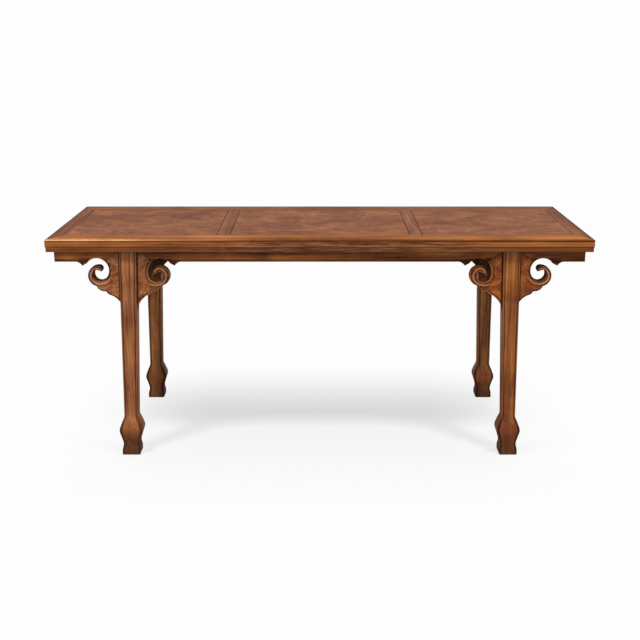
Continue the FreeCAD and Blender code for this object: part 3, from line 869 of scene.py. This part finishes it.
# painted shade on the legs, partly glaze: in and beside the grooves, over the feet and round the ankles, on the faces
# turned towards the table's middle high up, under the top, and on the side face behind the bead where the spandrels
# meet
def legGlazeAndShade(co, footShade):
    glaze = leg["glaze"]
    outX, outY = fromLegMiddle(co)
    low, high = legInsets(co)
    groove = max(rise(glaze["groove"], low - baseInset(co.z)),
                 fall(glaze["grooveLine"], abs(high - glaze["grooveAt"])))
    foot = footShade * fall(glaze["foot"], co.z) * (1 - fall(glaze["sole"], co.z))
    footEdge = fall(glaze["ankle"], co.z) * fall(glaze["footEdge"], high)
    inside = rise(glaze["inside"], outY / legHalf(2, co.z)) * rise(glaze["insideUp"], co.z)
    underTop = rise(glaze["underTop"], co.z - underside)
    joint = fall(glaze["joint"], legHalf(1, co.z) - abs(outX)) * rise(glaze["jointUp"], co.z)
    joint *= rise(glaze["behindBead"], co.y + apron["front"])
    return min(1.0, max(groove, foot, footEdge, inside, underTop, joint))


# wear with painted highlights on the legs: lighter beads, dimmer under the top where painted shade falls, and a
# painted highlight round the bulge of each foot
def legWearAndHighlight(co):
    wearAndHighlight = leg["wearAndHighlight"]
    inset = legInsets(co)[1]
    bead = rise(wearAndHighlight["bead"], inset) * fall(wearAndHighlight["beadEnd"], inset) * rise(wearAndHighlight["beadFoot"], co.z)
    bead *= 1 - rise(wearAndHighlight["beadUnderTop"], co.z - underside)
    ballHighlight = fall(wearAndHighlight["ballHighlight"], abs(co.z - wearAndHighlight["ballUp"])) * rise(wearAndHighlight["ballInside"], inset)
    return max(bead, ballHighlight)


def makeLegs(woods):
    front, back = apron["front"] + leg["slotClear"], apron["back"] - leg["slotClear"]
    slotLow = (leg["xTop"] - leg["slotHalf"], -front, apronFoot - leg["slotClear"])
    slotHigh = (leg["xTop"] + leg["slotHalf"], -back, underside + leg["slotOver"])
    mesh = cutAway(legMesh(), meshFrom(boxMesh(slotLow, slotHigh, 0.00001, 1), "slot"))
    paintBy(mesh, "worn", legWearAndHighlight)
    for corner, (sideX, sideY) in corners.items():
        other = mirroredMesh(mesh, sideX, sideY)
        footShade = leg["footShade"][corner]
        paintBy(other, "glaze", lambda co: legGlazeAndShade(Vector((co.x * sideX, co.y * sideY, co.z)), footShade))
        wood = "backLegWood" if sideY < 0 else "goldenLegWood" if sideX > 0 else "legWood"
        node = f"{corner}_leg"
        finishPiece(node, other, woods[wood], "leg_wood", node)


# aprons and scroll spandrels share the scroll's outline

apron = {
    "front": 0.303, "back": 0.273, "high": 0.0455, "endInset": 0.0205, "softness": 0.0042, "rimsUpTo": 0.0137,
    "stations": 9, "stationsPerMetre": 10, "bands": (0.012, 0.026, 0.038), "underTop": (0.46, 0.0, 0.05),
    "rimGlazeAndShade": 0.85, "lowGlazeAndShade": (0.42, 0.006, 0.009), "edgeGlazeAndShade": (0.85, 0.0, 0.0025),
    "inside": 0.9, "insideFrom": 0.004, "middle": (0.24, 0.26, 0.44), "paleAt": -0.42, "pale": (1, 0.2, 0.65),
    "rightEnd": (0.22, 0.75, 0.92), "leftEnd": (0.10, -0.85, -0.72),
}
apronThick = apron["front"] - apron["back"]
apronFoot = underside - apron["high"]
scroll = {"outerWeb": 0.043, "innerWeb": 0.039, "radius": 0.0445}
# in these tables 1 is an outer spandrel and -1 an inner one, and a share is a part of the scroll's radius
footShare = {1: 2.95, -1: 3.25}
# each step of the free edge is an arc, with its middle and its end
scrollShares = {
    1: [((-1.0, 0.0), (-0.643, 0.766)), ((-0.236, 0.912), (0.215, 0.110)), ((0.115, -0.010), (-0.011, 0.029)),
        ((-0.202, 0.083), (-0.348, 0.157)), ((-0.472, -0.079), (-0.146, -0.382)), ((0.798, 0.506), (0.135, 1.396)),
        ((-0.146, 1.719), (-0.663, 1.831)), ((-0.820, 2.056), (-1.067, 2.169))],
    -1: [((-1.090, 0.217), (-0.997, 0.700)), ((-0.420, 1.080), (0.120, 0.300)), ((0.020, 0.165), (-0.130, 0.170)),
         ((-0.385, 0.300), (-0.700, 0.520)), ((-0.600, 0.020), (-0.110, -0.378)), ((0.765, 0.506), (-0.020, 1.370)),
         ((-0.250, 1.660), (-0.750, 1.800)), ((-0.920, 2.010), (-1.130, 2.130))],
}
coveShares = {1: (-1.517, 2.461), -1: (-1.550, 2.450)}
cuspShares = {"foot": (0.819, -0.573), "tip": (1.200, -0.370), "middle": 1.4, "shoulder": 1.65, "sag": 0.37}
# the carved ridge, from the beak round the curl to where it fades on the flat
ridgeShares = {
    1: [(-0.30, -0.02), ((0.08, -0.15), (0.41, 0.10)), ((0.56, 0.54), (0.38, 0.96)),
        ((-0.28, 1.20), (-0.79, 1.03)), ((-1.06, 0.75), (-1.23, 0.40))],
    -1: [(-0.50, 0.18), ((-0.12, -0.14), (0.25, 0.04)), ((0.45, 0.45), (0.30, 0.95)),
         ((-0.05, 1.22), (-0.45, 1.31)), ((-0.88, 1.24), (-1.14, 1.02))],
}
carving = {
    "voxel": 0.0015, "edgeRadius": 0.0045, "backRadius": 0.003, "jointRadius": 0.001, "ridgeDeep": 0.0026,
    "ridgeSlope": (1, 0.0, 0.0045), "flat": (1, 0.008, 0.021), "ridgeEnd": (1, 0.85, 1.0), "earOverlap": 0.002,
    "darkRims": (0.0062, 0.0036, 0.0046, 0.0066, 0.0066, 0.0036, 0.0052, 0.0052, 0.0052), "rimFade": 0.0028,
    "rimGlazeAndShade": 0.92, "facingUp": (0.8, 0.05, 0.3), "litLipAt": 0.0038, "litLip": (1, 0.0010, 0.0026),
    "grooveAt": 0.0062, "groove": (0.75, 0.0014, 0.0036), "lightRim": (0.62, 0.0024, 0.0042),
    "crest": (0.46, 0.0008, 0.0030), "crestFlank": (0.42, 0.0026, 0.0056), "valleyGlazeAndShade": 0.45,
    "front": (1, 0.10, 0.22), "wall": (1, 0.45, 0.7), "inside": (0.9, 0.45, 0.8), "nearMitre": (0.32, 0.0, 0.032),
    "seam": {1: (0.95, 0.0042, 0.0080), -1: (0.95, 0.0022, 0.0052)},
    "wallShade": {1: 1.0, -1: 0.15}, "wallLit": {1: 0.0, -1: 0.45},
}


# painted shadow under the top's overhang, fading out over 50 mm below it
def shadeUnderTop(drop):
    return fall(apron["underTop"], drop)


def scrollPlace(outward, shares):
    # (out, down) from the head of the leg's own middle
    web = scroll["outerWeb"] if outward > 0 else scroll["innerWeb"]
    centreOut = leg["headHalf"][0] + web + scroll["radius"]
    centreDown = apron["high"] + scroll["radius"] * math.sqrt(0.5)
    return Vector((centreOut + scroll["radius"] * shares[0], centreDown + scroll["radius"] * shares[1]))


def scrollSteps(outward, steps):
    return [tuple(scrollPlace(outward, shares) for shares in step) for step in steps]


def legSide(outward, drop):
    height = underside - drop
    lean = legMiddle(height)[0] - leg["xTop"]
    return Vector((outward * lean + legHalf(1, height), drop))


def mitreFoot(outward):
    return scrollPlace(outward, (-math.sqrt(0.5), -math.sqrt(0.5)))


def spandrelFoot(outward):
    return legSide(outward, scrollPlace(outward, (0, footShare[outward])).y)


def freeEdge(outward):
    # from the mitre round the scroll down to the leg
    cove = (scrollPlace(outward, coveShares[outward]), spandrelFoot(outward))
    return [mitreFoot(outward)] + scrollSteps(outward, scrollShares[outward]) + [cove]


def spandrelBoard(outward):
    mitre, head = mitreFoot(outward), legSide(outward, apron["high"])
    bm = drawFace(freeEdge(outward) + [head, mitre], 0.0012)
    thicken(bm, (0, 0, apronThick))
    lap = Vector((0, carving["earOverlap"]))
    ear = drawFace([mitre + lap, mitre, legSide(outward, 0), head + lap, mitre + lap])
    thicken(ear, (0, 0, apronThick / 2))
    addTo(bm, ear)
    return meshFrom(bm, "spandrel")


def samplePath(places, chord=0.0004):
    bm = bmesh.new()
    drawPath(bm, places, chord)
    points = [v.co.copy() for v in bm.verts]
    bm.free()
    return points


def straightPoints(a, b, chord=0.001):
    count = max(2, int((b - a).length / chord))
    return [(a.lerp(b, i / count)).to_3d() for i in range(count + 1)]


def nearest(points):
    tree = KDTree(len(points))
    for i, p in enumerate(points):
        tree.insert(p, i)
    tree.balance()
    return tree


def rounding(gap, radius):
    if gap >= radius:
        return 0.0
    return radius - math.sqrt(max(0.0, radius * radius - (radius - gap) ** 2))


def carve(mesh, outward):
    # carved on the flat board, whose own z is the depth behind the front face
    edgePath = freeEdge(outward)
    edge = nearest(samplePath(edgePath))
    sectionEnds = [len(samplePath(edgePath[:count])) for count in range(2, len(carving["darkRims"]) + 1)]
    legPoints = straightPoints(spandrelFoot(outward), legSide(outward, 0))
    mitrePoints = straightPoints(legSide(outward, 0), mitreFoot(outward))
    seam, mitre, joints = nearest(legPoints), nearest(mitrePoints), nearest(legPoints + mitrePoints)
    ridgeStart, *ridgeSteps = ridgeShares[outward]
    ridgePoints = samplePath([scrollPlace(outward, ridgeStart)] + scrollSteps(outward, ridgeSteps))
    ridge = nearest(ridgePoints)
    spots = []
    for v in mesh.vertices:
        flat = Vector((v.co.x, v.co.y, 0))
        _, place, edgeGap = edge.find(flat)
        _, index, ridgeGap = ridge.find(flat)
        jointGap = joints.find(flat)[2]
        fade = fall(carving["ridgeEnd"], index / len(ridgePoints))
        hollow = rise(carving["ridgeSlope"], ridgeGap) * fall(carving["flat"], ridgeGap)
        rounded = max(rounding(edgeGap, carving["edgeRadius"]), rounding(jointGap, carving["jointRadius"]))
        front = rounded + carving["ridgeDeep"] * hollow * fade
        back = rounding(min(edgeGap, jointGap), carving["backRadius"])
        depth = v.co.z / apronThick
        v.co.z += front * (1 - depth) - back * depth
        spots.append({
            "edge": edgeGap, "rim": carving["darkRims"][sum(place > end for end in sectionEnds)],
            "seam": seam.find(flat)[2], "mitre": mitre.find(flat)[2], "ridge": ridgeGap, "fade": fade,
            "valley": hollow * fade, "depth": depth, "drop": v.co.y,
        })
    mesh.update()
    painted = [carvingPaint(spot, max(0.0, -v.normal.y), outward) for v, spot in zip(mesh.vertices, spots)]
    for name, values in zip(("glaze", "worn"), zip(*painted)):
        paint(mesh, name, values)


def carvingPaint(spot, facingUp, outward):
    # gaps from the lines of the carving to shares of glaze with painted shade, and of wear with painted highlight
    onFront = fall(carving["front"], spot["depth"])
    wall = (1 - onFront) * fall(carving["wall"], spot["depth"])
    # outer spandrels: a painted highlight on the lip that faces up, and a dark rim of painted shade, partly glaze,
    # along the rest of the free edge
    if outward > 0:
        light = rise(carving["facingUp"], facingUp) * fall(carving["litLip"], abs(spot["edge"] - carving["litLipAt"]))
        rim = (carving["rimGlazeAndShade"], spot["rim"], spot["rim"] + carving["rimFade"])
        line = fall(rim, spot["edge"]) * (1 - light)
    # inner spandrels: a painted highlight on the lit rim, and a painted dark line of shade in the cove inside it
    else:
        light = fall(carving["lightRim"], spot["edge"])
        line = fall(carving["groove"], abs(spot["edge"] - carving["grooveAt"]))
    # the crest is worn and painted lighter as a highlight
    crest = spot["fade"] * (fall(carving["crestFlank"], spot["ridge"]) + fall(carving["crest"], spot["ridge"]))
    # a dark joint line at the leg with painted shadow of the gap, painted shade on the back, and painted shadow under
    # the top that deepens near the mitre to meet the apron's
    seam = fall(carving["seam"][outward], spot["seam"])
    inside = rise(carving["inside"], spot["depth"])
    towardsApron = shadeUnderTop(spot["drop"]) + fall(carving["nearMitre"], spot["mitre"])
    # painted shade, partly glaze, in the hollows beside the ridge, and on the walls of the outer spandrels, while
    # those of the inner ones are painted lit
    glaze = max(onFront * line * (1 - crest), onFront * spot["valley"] * carving["valleyGlazeAndShade"], seam, towardsApron,
                inside, wall * carving["wallShade"][outward])
    worn = max(onFront * crest, onFront * light, wall * carving["wallLit"][outward])
    return min(1.0, glaze), worn


def spandrelMesh(outward):
    mesh = modified(spandrelBoard(outward), "REMESH", mode="VOXEL", voxel_size=carving["voxel"])
    carve(mesh, outward)
    # (out, down, depth) becomes the front right corner's own place
    mesh.transform(Matrix(((outward, 0, 0, leg["xTop"]), (0, 0, 1, -apron["front"]),
                           (0, -1, 0, underside), (0, 0, 0, 1))))
    if outward < 0:
        mesh.flip_normals()
    return mesh


def makeSpandrels(woods):
    for outward, where in ((1, "outer"), (-1, "inner")):
        mesh = spandrelMesh(outward)
        for corner, sides in corners.items():
            wood = "spandrelWood" if "left" in corner else "goldenSpandrelWood"
            node = f"{corner}_{where}_spandrel"
            finishPiece(node, mirroredMesh(mesh, *sides), woods[wood], "spandrel_wood", node, creaseAngle=50)


def apronPlace(side, outward, place):
    return Vector((side * (leg["xTop"] + outward * place.x), underside - place.y))


def apronEdge(side, outward):
    # from the mitre out past the cusp, as (x, height over the floor)
    tip = scrollPlace(outward, cuspShares["tip"])
    sag = apron["high"] + (tip.y - apron["high"]) * cuspShares["sag"]
    middle = Vector((scrollPlace(outward, (cuspShares["middle"], 0)).x, sag))
    shoulder = Vector((scrollPlace(outward, (cuspShares["shoulder"], 0)).x, apron["high"]))
    places = (mitreFoot(outward), scrollPlace(outward, (0, -1)), scrollPlace(outward, cuspShares["foot"]),
              tip, middle, shoulder)
    start, arcMiddle, arcEnd, tip, middle, shoulder = [apronPlace(side, outward, place) for place in places]
    return [start, (arcMiddle, arcEnd), tip, (middle, shoulder)]


def apronOutline():
    end = halfLength - apron["endInset"]
    path = [(-end, underside), (-end, apronFoot)]
    for side in (-1, 1):
        path += reversedPath(apronEdge(side, -side)) + apronEdge(side, side)
    return path + [(end, apronFoot), (end, underside), (-end, underside)]


def earCutter(side, outward):
    # the front half of a spandrel is let into the apron up to the mitre
    over = Vector((0, 0.005))
    top, foot, head = legSide(outward, 0), mitreFoot(outward), legSide(outward, apron["high"])
    bm = drawFace([apronPlace(side, outward, place) for place in (top, foot, foot + over, head + over, top)])
    standUp(bm, (1, 0, 0), (0, 0, 1), (0, -(apron["front"] + apron["back"]) / 2, 0))
    thicken(bm, (0, -apronThick, 0))
    return meshFrom(bm, "earCutter")


def fromApronFace(co):
    return min(abs(co.y + apron["front"]), abs(co.y + apron["back"]))


def apronRims(bm):
    # the edges to be rounded: the lower ones and those at the ends
    end = halfLength - apron["endInset"]
    rims = []
    for e in bm.edges:
        near, far = [v.co for v in e.verts]
        onFace = fromApronFace(near) <= 0.00001 and abs(near.y - far.y) <= 0.00001
        underTop = min(near.z, far.z) > underside - hair
        if not onFace or underTop or len(e.link_faces) != 2 or e.calc_face_angle(0) <= 1.2:
            continue
        atEnd = all(abs(abs(co.x) - end) < hair for co in (near, far))
        if atEnd or max(near.z, far.z) < apronFoot + apron["rimsUpTo"]:
            rims.append(e)
    return rims


def apronRimPlaces(mesh):
    # where the flat face meets the rounded lower edge
    def onFace(co):
        return abs(co.y + apron["front"]) < 0.00001
    places = set()
    for e in mesh.edges:
        for a, b in (e.vertices, reversed(e.vertices)):
            here, there = mesh.vertices[a].co, mesh.vertices[b].co
            if onFace(here) and not onFace(there) and here.z < apronFoot + apron["rimsUpTo"]:
                places.add(tuple(here))
    return places


def apronGlazeAndShade(co, rims):
    # painted shade, partly glaze: dark on the rounded lower edge and along its foot, on the side that faces in, and
    # under the top; also darker in the middle and at the ends
    inside = apron["inside"] if co.y > -apron["back"] - apron["insideFrom"] else 0.0
    shade = shadeUnderTop(underside - co.z) + rise(apron["rightEnd"], co.x) + fall(apron["leftEnd"], co.x)
    shade += fall(apron["middle"], abs(co.x)) * rise(apron["pale"], abs(co.x - apron["paleAt"]))
    rim = apron["rimGlazeAndShade"] if tuple(co) in rims else 0.0
    low = fall(apron["lowGlazeAndShade"], co.z - apronFoot)
    return max(rise(apron["edgeGlazeAndShade"], fromApronFace(co)), inside, min(1.0, shade), rim, low)


def makeAprons(woods):
    bm = drawFace(apronOutline(), 0.0022)
    standUp(bm, (1, 0, 0), (0, 0, 1), (0, -apron["back"], 0))
    thicken(bm, (0, -apronThick, 0))
    blank = meshFrom(bm, "apron")
    for side in (-1, 1):
        for outward in (-1, 1):
            blank = cutAway(blank, earCutter(side, outward))
    bm = bmesh.new()
    bm.from_mesh(blank)
    soften(bm, apronRims(bm), apron["softness"], 4)
    for station in range(-apron["stations"], apron["stations"] + 1):
        cutAcross(bm, (station / apron["stationsPerMetre"], 0, 0), (1, 0, 0))
    for drop in apron["bands"]:
        cutAcross(bm, (0, 0, underside - drop), (0, 0, 1))
    mesh = meshFrom(bm, "apron")
    rims = apronRimPlaces(mesh)
    paintBy(mesh, "glaze", lambda co: apronGlazeAndShade(co, rims))
    finishPiece("front_apron", mesh, woods["apronWood"], "apron_wood", "front_apron")
    finishPiece("back_apron", mirroredMesh(mesh, 1, -1), woods["apronWood"], "apron_wood", "back_apron")


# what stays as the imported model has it: it is out of sight under the top

def dressHidden(wood):
    for node in ("left_batten", "middle_batten", "right_batten", "corner_pegs"):
        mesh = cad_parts[node].data
        mesh.materials.clear()
        mesh.materials.append(wood)


# studio

studio = {
    "ambient": 0.5, "floorTint": 0.955, "floorBounce": 0.68, "floorWhite": (253, 253, 253), "shadowShare": 0.46,
    "floorSize": 40, "underSoles": 0.0004,
    "patchMiddle": (0.0, -0.35), "patchHalf": (0.75, 0.74), "patchFade": (0.34, 0.34),
    "keyAzimuth": 50, "keyHeight": 52, "keyDistance": 3.4, "keySize": 0.5, "keyPower": 40, "keyAim": (0, 0, 0.4),
    "fillPlace": (0, -4.5, 1.6), "fillAim": (0, 0, 0.5), "fillSize": 2.2, "fillPower": 26,
}


def seenByCamera(tree):
    return addNode(tree, "LightPath").outputs["Is Camera Ray"]


def makeWorld():
    world = bpy.data.worlds.new("studio")
    bpy.context.scene.world = world
    world.use_nodes = True
    tree = world.node_tree
    tree.nodes.clear()
    level = mapRange(tree, seenByCamera(tree), 0.0, 1.0, studio["ambient"], 1.0)
    sky = addNode(tree, "Background", {"Color": tint(*studio["floorWhite"]), "Strength": level})
    addNode(tree, "OutputWorld", {"Surface": sky.outputs["Background"]})


def makeFloor():
    bm = bmesh.new()
    bmesh.ops.create_grid(bm, x_segments=1, y_segments=1, size=studio["floorSize"])
    bmesh.ops.translate(bm, verts=bm.verts, vec=(0, 0, -studio["underSoles"]))
    floor = newObject("floor", meshFrom(bm, "floor"))
    material = newMaterial("paleFloor")
    tree = material.node_tree
    along = addNode(tree, "SeparateXYZ", {"Vector": addNode(tree, "TexCoord").outputs["Object"]})
    inside = []
    for axis, middle, half, fade in zip("XY", studio["patchMiddle"], studio["patchHalf"], studio["patchFade"]):
        far = mathNode(tree, "ABSOLUTE", mathNode(tree, "SUBTRACT", along.outputs[axis], middle))
        soft = mapRange(tree, far, half - fade, half + fade, 1.0, 0.0)
        soft.node.interpolation_type = "SMOOTHSTEP"
        inside.append(soft)
    # the camera sees white, with shadows only in a patch round the feet
    away = mapRange(tree, mathNode(tree, "MULTIPLY", *inside), 0.0, 1.0, 1.0, 1 - studio["shadowShare"])
    level = mapRange(tree, seenByCamera(tree), 0.0, 1.0, studio["floorBounce"], studio["floorTint"])
    matt = addNode(tree, "BsdfDiffuse", {"Color": level})
    white = addNode(tree, "Emission", {"Color": tint(*studio["floorWhite"]), "Strength": 1.0})
    share = mathNode(tree, "MULTIPLY", away, seenByCamera(tree))
    mix = addNode(tree, "MixShader", {0: share, 1: matt.outputs["BSDF"], 2: white.outputs["Emission"]})
    addNode(tree, "OutputMaterial", {"Surface": mix.outputs["Shader"]})
    floor.data.materials.append(material)


def areaLight(name, place, aim, size, power):
    lamp = bpy.data.lights.new(name, "AREA")
    lamp.shape = "DISK"
    lamp.size = size
    lamp.energy = power
    holder = newObject(name, lamp)
    holder.location = place
    holder.rotation_euler = (Vector(place) - Vector(aim)).to_track_quat("Z", "Y").to_euler()


def makeLights():
    height, reach, aim = math.radians(studio["keyHeight"]), studio["keyDistance"], studio["keyAim"]
    for side, name in ((-1, "keyLeft"), (1, "keyRight")):
        turn = math.radians(studio["keyAzimuth"]) * side
        place = (reach * math.cos(height) * math.sin(turn), -reach * math.cos(height) * math.cos(turn),
                 reach * math.sin(height) + aim[2])
        areaLight(name, place, aim, studio["keySize"], studio["keyPower"])
    areaLight("frontFill", studio["fillPlace"], studio["fillAim"], studio["fillSize"], studio["fillPower"])


makeCamera()
makeWorld()
makeFloor()
makeLights()
print("studio ready")

woods = {name: makeWood(name, look) for name, look in looks.items()}
print("woods ready")

makeRails(woods)
makePanels(woods)
makeEndBoards(woods)
print("top ready")
makeLegs(woods)
print("legs ready")
makeAprons(woods)
makeSpandrels(woods)
print("aprons and spandrels ready")
dressHidden(woods["hiddenWood"])
print("hidden pieces ready")
